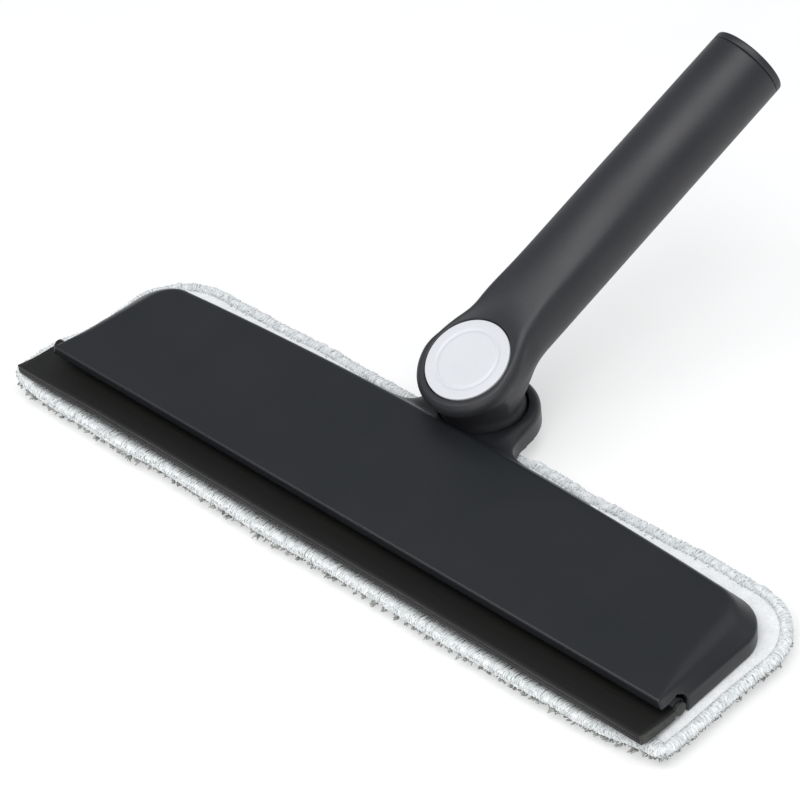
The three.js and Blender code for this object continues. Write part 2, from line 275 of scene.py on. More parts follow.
def noise(tree, coords, size_mm, detail=2.0, roughness=0.5):
    node = tree.nodes.new("ShaderNodeTexNoise")
    node.inputs["Scale"].default_value = 1 / (size_mm * MM)
    node.inputs["Detail"].default_value = detail
    node.inputs["Roughness"].default_value = roughness
    tree.links.new(coords, node.inputs["Vector"])
    return node.outputs["Fac"]


def stretched(tree, coords, scale):
    node = tree.nodes.new("ShaderNodeMapping")
    node.inputs["Scale"].default_value = scale
    tree.links.new(coords, node.inputs["Vector"])
    return node.outputs["Vector"]


def ramp(tree, value, *stops):
    node = tree.nodes.new("ShaderNodeValToRGB")
    for _ in range(len(stops) - 2):
        node.color_ramp.elements.new(0.5)
    for element, (place, colour) in zip(node.color_ramp.elements, stops):
        element.position = place
        element.color = (*colour, 1)
    tree.links.new(value, node.inputs["Fac"])
    return node.outputs["Color"]


def spread(tree, value, low, high, out_low, out_high):
    node = tree.nodes.new("ShaderNodeMapRange")
    for socket, number in zip(("From Min", "From Max", "To Min", "To Max"), (low, high, out_low, out_high)):
        node.inputs[socket].default_value = number
    tree.links.new(value, node.inputs["Value"])
    return node.outputs["Result"]


def mixed(tree, factor, first, second, mode="MIX"):
    node = tree.nodes.new("ShaderNodeMix")
    node.data_type = "RGBA"
    node.blend_type = mode
    for index, value in ((0, factor), (6, first), (7, second)):
        if isinstance(value, bpy.types.NodeSocket):
            tree.links.new(value, node.inputs[index])
        elif index == 0:
            node.inputs[index].default_value = value
        else:
            node.inputs[index].default_value = (*value, 1)
    return node.outputs[2]


def bump(tree, shader, layers):
    """Adds bump layers of (height, distance in mm, strength)."""
    normal = None
    for height, distance, strength in layers:
        node = tree.nodes.new("ShaderNodeBump")
        node.inputs["Distance"].default_value = distance * MM
        node.inputs["Strength"].default_value = strength
        tree.links.new(height, node.inputs["Height"])
        if normal:
            tree.links.new(normal, node.inputs["Normal"])
        normal = node.outputs["Normal"]
    tree.links.new(normal, shader.inputs["Normal"])


def moulded_plastic(name, dark, light, grain_mm, rough, grain_depth, fleck_dark=0.86):
    """Satin moulding: spark-eroded grain, cloudy tone, and rubbed patches that shine a little."""
    material, tree, shader, coords = new_material(name)
    grain = noise(tree, coords, grain_mm, 3.0, 0.6)
    cloud = noise(tree, coords, 28, 3.0, 0.55)
    fleck = noise(tree, coords, grain_mm * 2.5, 1.0)
    tone = ramp(tree, cloud, (0.3, dark), (0.7, light))
    speckled = ramp(tree, fleck, (0.3, (fleck_dark,) * 3), (0.7, (1.0, 1.0, 1.0)))
    colour = mixed(tree, 1.0, tone, speckled, "MULTIPLY")
    tree.links.new(colour, shader.inputs["Base Color"])
    rubbed = noise(tree, coords, 45, 4.0, 0.6)
    tree.links.new(spread(tree, rubbed, 0.3, 0.7, rough - 0.05, rough + 0.06), shader.inputs["Roughness"])
    bump(tree, shader, [(grain, grain_depth, 0.5), (fleck, grain_depth * 1.5, 0.25)])
    return material


def blade_rubber():
    """Matte extruded rubber: fine drawn lines along the strip, talc bloom and small specks."""
    material, tree, shader, coords = new_material("squeegee_rubber")
    lines = noise(tree, stretched(tree, coords, (0.03, 1, 1)), 0.5, 3.0, 0.6)
    bloom = noise(tree, stretched(tree, coords, (0.25, 1, 1)), 9, 4.0, 0.6)
    pores = noise(tree, coords, 0.45, 2.0)
    tone = ramp(tree, bloom, (0.3, (0.0065, 0.0064, 0.006)), (0.7, (0.0105, 0.0102, 0.0095)))
    streaks = ramp(tree, lines, (0.35, (0.8, 0.8, 0.8)), (0.7, (1.15, 1.13, 1.1)))
    drawn = mixed(tree, 1.0, tone, streaks, "MULTIPLY")
    split = tree.nodes.new("ShaderNodeSeparateXYZ")
    tree.links.new(coords, split.inputs[0])
    cut_end = spread(tree, split.outputs["X"], 0.1413, 0.1417, 0.0, 1.0)
    torn = ramp(tree, pores, (0.35, (0.022, 0.024, 0.021)), (0.65, (0.062, 0.066, 0.058)))
    tree.links.new(mixed(tree, cut_end, drawn, torn), shader.inputs["Base Color"])
    tree.links.new(spread(tree, bloom, 0.3, 0.7, 0.62, 0.5), shader.inputs["Roughness"])
    shader.inputs["Specular IOR Level"].default_value = 0.35
    bump(tree, shader, [(lines, 0.05, 0.5), (pores, 0.02, 0.3)])
    return material


def metal(name, colour, rough):
    """Machined metal: fine brushing and cloudy oxide."""
    material, tree, shader, coords = new_material(name)
    brushing = noise(tree, stretched(tree, coords, (0.05, 1, 1)), 0.25, 3.0, 0.6)
    cloud = noise(tree, coords, 6, 3.0)
    darker = tuple(c * 0.82 for c in colour)
    tree.links.new(ramp(tree, cloud, (0.3, darker), (0.7, colour)), shader.inputs["Base Color"])
    tree.links.new(spread(tree, brushing, 0.3, 0.7, rough - 0.08, rough + 0.1), shader.inputs["Roughness"])
    shader.inputs["Metallic"].default_value = 1.0
    bump(tree, shader, [(brushing, 0.01, 0.4)])
    return material


def fibre_cloth(name, low, high, clump_mm, fibre_mm, depth, sheen=0.3, lean=(1, 1, 1)):
    """Brushed or tufted cloth: clumps, fine fibres, a little sheen."""
    material, tree, shader, coords = new_material(name)
    fibres = noise(tree, stretched(tree, coords, lean), fibre_mm, 4.0, 0.7)
    clumps = noise(tree, coords, clump_mm, 3.0, 0.6)
    tone = ramp(tree, clumps, (0.3, low), (0.65, high))
    shade = ramp(tree, fibres, (0.3, (0.8, 0.8, 0.81)), (0.6, (1.0, 1.0, 1.0)))
    tree.links.new(mixed(tree, 1.0, tone, shade, "MULTIPLY"), shader.inputs["Base Color"])
    shader.inputs["Roughness"].default_value = 0.95
    shader.inputs["Specular IOR Level"].default_value = 0.15
    shader.inputs["Sheen Weight"].default_value = sheen
    shader.inputs["Sheen Roughness"].default_value = 0.5
    bump(tree, shader, [(clumps, depth * 1.5, 0.5), (fibres, depth, 0.8)])
    return material


HEAD_PLASTIC = moulded_plastic("head_moulding", (0.0075, 0.0095, 0.0125), (0.0105, 0.012, 0.0145),
                               0.35, 0.38, 0.012)
HANDLE_PLASTIC = moulded_plastic("handle_moulding", (0.0165, 0.017, 0.021), (0.0215, 0.022, 0.026),
                                 0.4, 0.47, 0.05)
CAP_PLASTIC = moulded_plastic("button_moulding", (0.60, 0.61, 0.64), (0.625, 0.635, 0.665),
                              0.3, 0.42, 0.006, 0.985)
INNER_PLASTIC = moulded_plastic("inner_moulding", (0.014, 0.015, 0.017), (0.02, 0.021, 0.023),
                                0.5, 0.5, 0.02)
NATURAL_PLASTIC = moulded_plastic("natural_moulding", (0.7, 0.69, 0.64), (0.76, 0.75, 0.7), 0.5, 0.5, 0.01)
RUBBER = blade_rubber()
STEEL = metal("zinc_plated_steel", (0.62, 0.63, 0.65), 0.32)
ANODISED = metal("dark_anodised_channel", (0.055, 0.058, 0.065), 0.42)
LINING = fibre_cloth("brake_lining", (0.10, 0.06, 0.035), (0.16, 0.10, 0.06), 1.5, 0.4, 0.05, 0.0)
HOOK_TAPE = fibre_cloth("hook_tape", (0.008, 0.008, 0.009), (0.02, 0.02, 0.022), 0.8, 0.3, 0.2, 0.1)
LOOP_CLOTH = fibre_cloth("pad_loop_cloth", (0.84, 0.86, 0.87), (0.93, 0.94, 0.945), 3.2, 0.5, 0.12, 0.35)
YARN = fibre_cloth("hem_yarn", (0.60, 0.635, 0.64), (0.90, 0.92, 0.925), 1.8, 0.25, 0.12, 0.3, (1, 1, 1.6))
THREAD = fibre_cloth("hem_thread", (0.20, 0.23, 0.24), (0.42, 0.46, 0.48), 3.0, 0.3, 0.05, 0.2)
PILE = fibre_cloth("microfibre_pile", (0.13, 0.137, 0.127), (0.46, 0.475, 0.45), 2.0, 0.3, 0.2, 0.3)


# ---------------------------------------------------------------- head
WALL_TOP = 6.5
HEAD_HALF = 141.7
HEAD_BACK = 60.1
TOP_BACK = 54.4
LIP_TOP = 12.6
LIP_UNDER = 8.8
TOP_DEPTH = 54.2
TOP_SLOPE = 1.4 / TOP_DEPTH
TOP_HALF = 139.6                       # half length of the top face at the lip
TOP_TAPER = 8.6                        # how much shorter that is at the back
SAG = 5.8                              # how far the back curves forward at SAG_SPAN
SAG_SPAN = 140
RECESS_BACK = 11.2
COLLAR_RADIUS = 19.8
COLLAR_TOP = 9.0
BORE = 15.75


def head_outer(p, inset=0.0):
    """Distance to the head without its collar, recess and hollow; inset shrinks its walls."""
    x, y, z = np.abs(p[:, 0]), p[:, 1], p[:, 2]
    top = LIP_TOP + TOP_SLOPE * y
    rise = smooth_max((z - WALL_TOP) / (top - WALL_TOP), 0.0, 0.08)
    top_half = TOP_HALF - TOP_TAPER * np.clip(y, 0, None) / TOP_DEPTH
    end_wall = x - HEAD_HALF + rise * (HEAD_HALF - top_half)
    back_wall = y - HEAD_BACK + (HEAD_BACK - TOP_BACK) * rise + SAG * (x / SAG_SPAN) ** 2
    corner = 13.5 - 5.5 * np.clip(rise, 0, 1)
    plan = round_max(end_wall + inset, back_wall + inset, np.maximum(corner - inset, 1))
    plan = round_max(plan, inset - y, 0.7)
    if inset:
        return round_max(plan, z - top + inset, 0.3)
    toward_end = smoothstep((x - 124) / 12) * smoothstep((y - 2) / 14)
    return round_max(plan, z - top, 0.45 + 0.6 * smoothstep(y / 5) + 1.8 * toward_end)


def head_distance(p):
    """Distance to the head moulding: its body and collar, less the bore, recess and hollow."""
    x, y, z = p[:, 0], p[:, 1], p[:, 2]
    around = np.hypot(x, y - SWIVEL_Y)
    back = y - HEAD_BACK + 2.0 * smoothstep((z - WALL_TOP) / 2.5) + SAG * (x / SAG_SPAN) ** 2
    apron = smooth_min(around - COLLAR_RADIUS, np.maximum(back, np.abs(x) - 60), 17.0)
    collar = round_max(np.maximum(apron, 45 - y), z - COLLAR_TOP, 3.0)
    whole = smooth_min(head_outer(p), collar, 1.8)
    whole = np.maximum(whole, 0.3 - z)
    bore = np.maximum(around - BORE, 5.0 - z)
    whole = round_max(whole, -bore, 0.3)
    well = np.maximum(around - 13.8, z - 4.0)
    whole = np.maximum(whole, -well)
    whole = np.maximum(whole, 8.0 - around)
    recess = round_max(y - RECESS_BACK, z - LIP_UNDER, 3.2)
    whole = round_max(whole, -recess, 0.4)
    hollow = np.maximum(head_outer(p, 2.4), RECESS_BACK + 2.4 - y)
    return np.maximum(whole, -hollow)


def build_head():
    xs = steps((-143.5, -124, 0.65), (-124, -46, 2.4), (-46, 46, 0.65), (46, 124, 2.4), (124, 143.5, 0.65))
    ys = steps((-1.5, 15, 0.5), (15, 50, 1.2), (50, 98, 0.65))
    zs = steps((-0.6, 16.2, 0.5))
    points, quads = contour(head_distance, xs, ys, zs)
    make_piece("head_casing", to_frame(points), quads, HEAD_PLASTIC, "head",
               ["head_shell"])


# ---------------------------------------------------------------- rubber blade
BEAD = (7.8, 4.0)
BEAD_RADIUS = 2.25
BLADE_LEFT, BLADE_RIGHT = -147.6, 141.9


def arc(centre, radius, start, end, count):
    turn = np.radians(np.linspace(start, end, count))
    return [(centre[0] + radius * math.cos(a), centre[1] + radius * math.sin(a)) for a in turn]


def blade_section():
    """Points round the strip's section in (y, z): the bead, a web, a blade with a slightly
    hollow top, and a square front edge with two drawn grooves."""
    points = arc(BEAD, BEAD_RADIUS, -157, 157, 25)
    points += [(5.2, 4.95), (4.7, 5.1)]
    for t in np.linspace(0.08, 1, 12):
        points.append((4.6 - 15.6 * t, 5.0 + 3.25 * t - 1.8 * t * (1 - t)))
    points += [(-11.15, 8.15), (-11.25, 7.9), (-11.2, 6.95), (-11.0, 6.8), (-11.2, 6.6)]
    points += [(-11.2, 5.5), (-11.05, 5.35), (-11.15, 5.15), (-11.0, 4.6), (-10.7, 4.35)]
    points += [(-8, 3.3), (-3, 2.6), (2, 2.1), (4.4, 1.9), (4.75, 2.1), (4.8, 3.0), (5.2, 3.1)]
    return points


def extrude_along(section, xs, bend=None):
    """A closed bar: the section's rings at each x, with their ends filled."""
    section = np.array(section)
    rings = []
    for x in xs:
        y, z = section.T
        if bend:
            y, z = bend(x, y, z)
        rings.append(np.column_stack([np.full(len(section), x), y, z]))
    points, faces = sweep(rings)
    count = len(section)
    faces += [tuple(range(count))[::-1], tuple(range(len(points) - count, len(points)))]
    return points, faces


def rubber_droop(x, y, z):
    """The free edge sags a little at the left and wavers along its length."""
    reach = np.clip((3 - y) / 14, 0, 1)
    droop = 1.0 * smoothstep((-x - 100) / 47.0) + 0.5 * smoothstep((x - 60) / 80.0)
    sway = 0.12 * math.sin(x / 17.0) + 0.08 * math.sin(x / 6.1 + 1)
    forward = 0.5 * reach * smoothstep((x - 60) / 80.0)
    return y + 0.3 * reach * sway - forward, z + reach * (0.3 * sway - droop)


def build_blade():
    xs = steps((BLADE_LEFT, -90, 2.0), (-90, 120, 5.0), (120, BLADE_RIGHT, 2.0))
    points, faces = extrude_along(blade_section(), xs, rubber_droop)
    make_piece("rubber_strip", to_frame(points), faces, RUBBER, "blade", ["rubber_blade"])

    lips = arc(BEAD, 3.15, -140, 140, 29) + arc(BEAD, 2.5, 140, -140, 25)
    points, faces = extrude_along(lips, steps((-140.4, 140.4, 20)))
    make_piece("channel_rail", to_frame(points), faces, ANODISED, "head",
               ["blade_channel"])


# ---------------------------------------------------------------- handle
HANDLE_RADIUS = 14.5
HANDLE_DROP = -6.32
WELL_RADIUS = 15.95
WELL_FLOOR = -6.4
RIM_RADIUS = 16.0
NECK_RADIUS = 15.1
# Outlines of the hub as (radius, z, softness): the ring round the button, and the hub under it.
HUB_RING = [(19.4, 6, 0), (20.0, -3.4, 0.5), (19.8, -5.35, 0.2), (19.6, -5.6, 0.1), (0, -5.6, 0)]
HUB_UNDERSIDE = [(19.0, 0, 0), (19.35, -5.5, 1.0), (17.7, -9.4, 2.5), (13.0, -15.5, 1.5), (0, -15.5, 0)]


def revolved(radius, z, outline):
    """Distance to a convex solid of revolution given by its outline's (radius, z, softness)
    corners, listed downwards; softness is how far the edge at that corner is rounded."""
    result = np.full_like(radius, -99.0)
    for (r0, z0, soft), (r1, z1, _) in zip(outline[:-1], outline[1:]):
        length = math.hypot(r1 - r0, z1 - z0)
        nr, nz = (z0 - z1) / length, (r1 - r0) / length
        result = smooth_max(result, (radius - r0) * nr + (z - z0) * nz, soft + 0.02)
    return result


def ceiling_height(x, y):
    """The handle's upper side: level round the button, then a ramp that rises and rounds off."""
    around = np.hypot(x, y)
    behind = smoothstep(1.6 * y / np.maximum(around, 1))
    past = np.maximum(around - RIM_RADIUS, 0) * behind
    crown = 6.9 * (1 - np.exp(-past / 10.5)) + 1.6 * smoothstep((y - 35) / 62) - 0.35 + 0.25 * behind
    curve = 0.085 * (1 - np.exp(-past / 27))
    return crown - curve * x * x / 2


def handle_distance(p):
    """Distance to the handle moulding in hub coordinates."""
    x, y, z = p[:, 0], p[:, 1], p[:, 2]
    across = np.hypot(x, z - HANDLE_DROP)
    around = np.hypot(x, y)
    flare = 0.6 * np.exp(-(((y - 22) / 11) ** 2)) * smoothstep((2 - x) / 8)
    tube = smooth_max(across - HANDLE_RADIUS - flare + 0.2 * y / HANDLE_LENGTH, 1 - y, 1.0)
    upper = revolved(around + 1.5 * smoothstep((y + 5) / 15), z, HUB_RING)
    lower = revolved(around, z, HUB_UNDERSIDE)
    swivelled = hub_to_swivel(p)
    sx, sy, up = swivelled[:, 0], swivelled[:, 1], swivelled[:, 2]
    neck = smooth_max(np.hypot(sx, sy) - NECK_RADIUS + 1.2 * smoothstep((up - 8) / 5), up - 19, 1.0)
    blend = 5.0 + 4.5 * smoothstep((-2.5 - z) / 8)
    sides = smooth_min(tube, lower, blend)
    sides = smooth_min(sides, neck, 7.0)
    sides = smooth_min(sides, upper, 0.2 + 2.3 * smoothstep((y - 2) / 12))
    ceiling = (z - ceiling_height(x, y)) * 0.95
    near = 1 - smoothstep((y - 2) / 28)
    chamfer = (0.16 + 0.95 * near) * (1 - smoothstep((y - 42) / 25))
    bevel = (sides + ceiling) * 0.6 + chamfer
    body = smooth_max(sides, bevel, 0.25 + 0.8 * near)
    body = smooth_max(body, ceiling, 0.25)
    body = np.maximum(body, y - HANDLE_LENGTH + 2.7)
    body = np.maximum(body, 6.2 - up)
    well = np.maximum(around - WELL_RADIUS, WELL_FLOOR - z)
    body = round_max(body, -well, 0.25)
    body = np.maximum(body, -np.maximum(around - 8.4, -12 - z))
    cavity = np.maximum(np.hypot(sx, sy) - 12.4, 9.6 - up)
    body = np.maximum(body, -np.maximum(cavity, z - WELL_FLOOR + 1.6))
    bore = np.maximum(across - 12.2, 100 - y)
    return np.maximum(body, -bore)


def build_handle():
    xs = steps((-20.3, 20.3, 0.5))
    ys = steps((-20.5, 60, 0.5), (60, 136, 2.0), (136, 146, 0.6))
    zs = steps((-36, 9.4, 0.5))
    points, quads = contour(handle_distance, xs, ys, zs)
    make_piece("handle_moulding", hub_to_frame(points), quads, HANDLE_PLASTIC, "handle",
               ["handle_body"])


def rounded_rim(radius, edge):
    """Profile points of a quarter round from a solid's side at that radius to its top at z = 0."""
    angles = np.radians(range(15, 91, 15))
    return [(radius - edge * (1 - math.cos(a)), -edge + edge * math.sin(a)) for a in angles]


def build_end_plug():
    """Plug in the handle's far end, turned about the handle's own axis."""
    rim = HANDLE_RADIUS - 0.22
    profile = [(0, -9), (12, -9), (12, -2.6), (rim - 0.1, -2.6), (rim, -2.5), (rim, -0.6)]
    profile += rounded_rim(rim, 0.6)
    profile += [(9.6, 0.0), (9.2, -0.4), (0, -0.4)]
    points, faces = lathe(profile, 96)
    turned = np.stack([points[:, 0], points[:, 2] + HANDLE_LENGTH, -points[:, 1] + HANDLE_DROP], 1)
    make_piece("end_plug", hub_to_frame(turned), faces, HANDLE_PLASTIC, "handle",
               ["handle_end_cap"])


def build_button():
    """Round button with a soft ring groove and a rounded rim."""
    radius, groove, width, depth = 15.6, 11.4, 0.95, 0.34
    edge = 0.35
    profile = [(0, -3.4), (radius - 0.3, -3.4), (radius, -3.1), (radius, -edge)]
    profile += rounded_rim(radius, edge)
    profile += [(13.6, 0.0), (12.9, 0.0)]
    for t in np.linspace(1, -1, 13):
        profile.append((groove + width * t, -depth * 0.5 * (1 + math.cos(math.pi * t))))
    profile += [(9.5, -0.02), (6, -0.03), (3, -0.04), (0, -0.04)]
    points, faces = lathe(profile, 160)
    make_piece("button_face", hub_to_frame(points), faces, CAP_PLASTIC, "button",
               ["button_cap"])


# ---------------------------------------------------------------- pad
PAD_HALF = 150.0
PAD_FRONT = -13.4
PAD_BACK = 70.5
REAR_CORNER = 26.0
FRONT_CORNER = 5.0


def rounded_outline(inset, spacing):
    """Points, outward directions and running length round the pad, counter-clockwise."""
    half, front, back = PAD_HALF - inset, PAD_FRONT + inset, PAD_BACK - inset
    rear, fore = REAR_CORNER - inset, max(FRONT_CORNER - inset, 0.8)
    corners = [(half - fore, front + fore, fore, -90), (half - rear, back - rear, rear, 0),
               (-half + rear, back - rear, rear, 90), (-half + fore, front + fore, fore, 180)]
    points, normals = [], []
    for n, (cx, cy, radius, start) in enumerate(corners):
        count = max(4, round(radius * math.pi / 2 / spacing))
        for a in np.radians(np.linspace(start, start + 90, count, endpoint=False)):
            points.append((cx + radius * math.cos(a), cy + radius * math.sin(a)))
            normals.append((math.cos(a), math.sin(a)))
        nx, ny, next_radius, next_start = corners[(n + 1) % 4]
        a = math.radians(start + 90)
        here = np.array([cx + radius * math.cos(a), cy + radius * math.sin(a)])
        there = np.array([nx + next_radius * math.cos(a), ny + next_radius * math.sin(a)])
        count = max(1, round(np.linalg.norm(there - here) / spacing))
        for t in np.linspace(0, 1, count, endpoint=False):
            points.append(tuple(here + (there - here) * t))
            normals.append((math.cos(a), math.sin(a)))
    points, normals = np.array(points), np.array(normals)
    gaps = np.linalg.norm(np.roll(points, -1, 0) - points, axis=1)
    return points, normals, np.concatenate([[0], np.cumsum(gaps)[:-1]])


def soften(points):
    """The pad isn't stiff: its edge wavers, its left front corner curls up and out, its right
    front corner is drawn in, and the collar presses it down."""
    x, y, z = points[:, 0], points[:, 1], points[:, 2]
    edge = smoothstep((np.abs(x) - 128) / 20) + smoothstep((y - 55) / 12) + smoothstep((-y - 4) / 8)
    edge = np.clip(edge, 0, 1)
    curl = smoothstep((-x - 138) / 14) * smoothstep((32 - y) / 30)
    lift = 0.2 * np.sin(x / 13.0 + 0.7) + 0.12 * np.sin(x / 5.3 + y / 9.0)
    height = np.clip((z - FLOOR) / 4, 0, 1)
    front = smoothstep((5 - y) / 12)
    right = smoothstep((x - 112) / 36)
    out = points.copy()
    out[:, 0] += edge * 0.4 * np.sin(y / 8.0 + 1) * np.sign(x) - 2.4 * curl
    out[:, 0] -= 1.4 * right * smoothstep((40 - y) / 40)
    out[:, 1] += edge * (0.3 * np.sin(x / 14.0) + 0.2 * np.sin(x / 5.7 + 2)) + 4.6 * right * front
    under = smoothstep((28 - np.abs(x)) / 6) * smoothstep((y - 54) / 6) * smoothstep((z + 2.4) / 2.2)
    out[:, 2] += height * edge * lift + 3.2 * curl * height - 1.5 * under
    return out


def build_pad_top():
    """White loop cloth over wadding: flat under the head, crowned beside it, pinched at the hem."""
    insets = [(4.4, -3.9), (4.2, -2.6), (4.0, -1.4), (4.4, -0.75), (5.2, -0.35)]
    insets += [(6.4, -0.1), (8.0, 0.0), (10.5, -0.02), (14, -0.1)]
    rings = []
    base_points, _, _ = rounded_outline(4.0, 1.2)
    for inset, z in insets:
        shrink = max(0.0, inset - 4.0)
        middle = (PAD_FRONT + PAD_BACK) / 2
        xy = base_points.copy()
        xy[:, 0] *= 1 - shrink / (PAD_HALF - 4)
        xy[:, 1] += (middle - xy[:, 1]) * shrink / (middle - PAD_FRONT - 4)
        rings.append(np.column_stack([xy, np.full(len(xy), z)]))
    for share in (0.75, 0.5, 0.25):
        xy = rings[8][:, :2].copy()
        xy[:, 1] = 28 + (xy[:, 1] - 28) * share
        xy[:, 0] = np.sign(xy[:, 0]) * np.maximum(np.abs(xy[:, 0]) - (1 - share) * 36, 0)
        rings.append(np.column_stack([xy, np.full(len(xy), -0.1)]))
    rings = np.array(rings)
    waver = rng.normal(0, 0.05, rings.shape[:2])
    rings[1:, :, 2] += waver[1:]
    points, faces = sweep(rings)
    count = rings.shape[1]
    last = len(points) - count
    faces += [tuple(range(last, len(points))), tuple(range(count))[::-1]]
    piece = make_piece("pad_top", to_frame(soften(points)), faces, LOOP_CLOTH, "pad",
                       ["pad_loop_sheet", "pad_wadding"])


def tube_along(path, widths, sides=6):
    """Points and faces of a round tube along a path, closed at its ends."""
    path = np.asarray(path)
    points = []
    forward = np.gradient(path, axis=0)
    forward /= np.linalg.norm(forward, axis=1)[:, None]
    for centre, ahead, width in zip(path, forward, widths):
        side = np.cross(ahead, [0.05, 0.1, 1.0] if abs(ahead[2]) < 0.9 else [1.0, 0.3, 0.0])
        side /= np.linalg.norm(side)
        other = np.cross(ahead, side)
        for n in range(sides):
            a = 2 * math.pi * n / sides
            points.append(centre + width * (side * math.cos(a) + other * math.sin(a)))
    faces = [tuple(range(sides))]
    for level in range(len(path) - 1):
        for n in range(sides):
            k = (n + 1) % sides
            a, b = level * sides, (level + 1) * sides
            faces.append((a + n, b + n, b + k, a + k))
    last = (len(path) - 1) * sides
    faces.append(tuple(range(last, last + sides))[::-1])
    return points, faces


class Heap:
    """Gathers many small shapes into one mesh."""

    def __init__(self):
        self.points, self.faces = [], []

    def put(self, points, faces):
        start = len(self.points)
        self.points.extend(points)
        self.faces.extend([tuple(start + i for i in f) for f in faces])


# A turn of yarn over the pad's edge, as (distance out from the edge, height).
HEM_SECTION = np.array([(-4.6, -0.6), (-3.9, 0.2), (-2.9, 0.5), (-1.9, 0.3), (-1.05, -0.35),
                        (-0.75, -1.3), (-0.95, -2.2), (-1.7, -2.85), (-3.0, -3.1)])


def edge_place(outline, normals, run, at):
    """Position and outward direction at a running length round the pad."""
    total = run[-1] + np.linalg.norm(outline[0] - outline[-1])
    at = at % total
    closed_run = np.append(run, total)
    spot = [np.interp(at, closed_run, np.append(outline[:, n], outline[0, n])) for n in (0, 1)]
    out = np.array([np.interp(at, closed_run, np.append(normals[:, n], normals[0, n])) for n in (0, 1)])
    return np.array(spot), out / np.linalg.norm(out)


def build_hem():
    """Overlocked edging: a soft band under fine, uneven turns of yarn that cross each other,
    with loose loops standing off it and short dark stitches along the inside of the back."""
    outline, normals, run = rounded_outline(0.0, 0.8)
    total = run[-1] + np.linalg.norm(outline[0] - outline[-1])
    heap, thread = Heap(), Heap()

    rings = []
    for offset, z in [(o * 0.97 - 0.1, h * 0.96 - 0.08) for o, h in HEM_SECTION] + [(-4.3, -2.6)]:
        rings.append(np.column_stack([outline + normals * offset, np.full(len(outline), z)]))
    rings = np.array(rings).transpose(1, 0, 2)
    band, faces = sweep(np.concatenate([rings, rings[:1]]))
    band = band[:-rings.shape[1]]
    heap.put(list(band), [tuple(i % len(band) for i in f)[::-1] for f in faces])

    for lean in (1, -1):
        at = 0.0
        while at < total - 0.5:
            spot, out = edge_place(outline, normals, run, at)
            front = out[1] < -0.7
            pitch, thick, slant = (0.95, 0.36, 0.7) if front else (1.25, 0.44, 1.3)
            clump = 0.16 * math.sin(at / 1.9 + 2 * math.sin(at / 5.3)) + rng.uniform(-0.14, 0.14)
            drift, loose = rng.uniform(-0.5, 0.5), rng.uniform(-0.4, 0.4)
            path = []
            for n, (offset, z) in enumerate(HEM_SECTION):
                shift = lean * slant * (n / 8 - 0.5) + drift * (n / 8) + loose * math.sin(n * 1.1)
                here, outward = edge_place(outline, normals, run, at + shift)
                wild = rng.uniform(-0.13, 0.13, 3)
                inward = -1.2 if front and n < 2 else 0
                flat = here + outward * (offset + inward + clump * 0.6) + wild[:2]
                path.append([*flat, z + clump + wild[2]])
            widths = thick * np.array([0.5, 0.8, 1, 1, 1, 1, 0.95, 0.85, 0.6]) * rng.uniform(0.75, 1.2, 9)
            heap.put(*tube_along(path, widths, 6))
            at += pitch * rng.uniform(0.7, 1.3)
    for at in np.arange(0, total, 1.1):
        here, outward = edge_place(outline, normals, run, at + rng.uniform(-0.5, 0.5))
        level = rng.uniform(-2.9, -0.3)
        root = np.array([*(here + outward * -0.9), level])
        heading = np.array([*(outward + rng.uniform(-0.9, 0.9, 2)), rng.uniform(-0.9, 0.5)])
        length, thick = rng.uniform(0.4, 1.0), rng.uniform(0.16, 0.3)
        heap.put(*tuft(root, heading, length, thick, rng.uniform(-0.3, 0.3, 3)))

    for x in np.arange(-118, 122, 2.9):
        if rng.uniform() < 0.6:
            start = np.array([x + rng.uniform(-0.6, 0.6), PAD_BACK - 5.4 + rng.uniform(-0.5, 0.5), 0.12])
            step = np.array([rng.uniform(0.5, 0.9), rng.uniform(-0.3, 0.2), 0.05])
            thread.put(*tube_along(start + np.outer([0, 0.5, 1], step), [0.09, 0.13, 0.08], 5))
    for _ in range(7):
        root = np.array([149.2, PAD_FRONT + 1.3, 0.1]) + rng.uniform(-0.7, 0.7, 3) * [1.5, 1, 0.3]
        heading = rng.uniform(-1, 1, 3) * [1, 1, 0.3]
        length = rng.uniform(0.8, 1.5)
        thread.put(*tuft(root, heading, length, 0.22, rng.uniform(-0.3, 0.3, 3)))

    edging_points = to_frame(soften(np.array(heap.points)))
    piece = make_piece("pad_edging", edging_points, heap.faces, YARN, "pad", ["pad_hem"])
    thread_points = to_frame(soften(np.array(thread.points)))
    piece = make_piece("pad_edge_thread", thread_points, thread.faces, THREAD, "pad", ())


def tuft(root, heading, length, thick, curl):
    """Points and faces of one soft tuft: a bent, tapering tube with a blunt tip."""
    sides, levels = 5, 4
    heading = heading / np.linalg.norm(heading)
    side = np.cross(heading, [0.3, 0.2, 1.0])
    side /= np.linalg.norm(side)
    other = np.cross(heading, side)
    points = []
    for level in range(levels):
        t = level / (levels - 1)
        centre = root + heading * length * t + curl * t * t
        width = thick * (1 - 0.55 * t * t)
        for n in range(sides):
            a = 2 * math.pi * n / sides + t
            points.append(centre + width * (side * math.cos(a) + other * math.sin(a)))
    points.append(root + heading * (length + 0.35 * thick) + curl)
    tip = len(points) - 1
    faces = [tuple(range(sides))]
    for level in range(levels - 1):
        for n in range(sides):
            k = (n + 1) % sides
            a, b = level * sides, (level + 1) * sides
            faces.append((a + n, b + n, b + k, a + k))
    last = (levels - 1) * sides
    faces += [(last + n, tip, last + (n + 1) % sides) for n in range(sides)]
    return points, faces


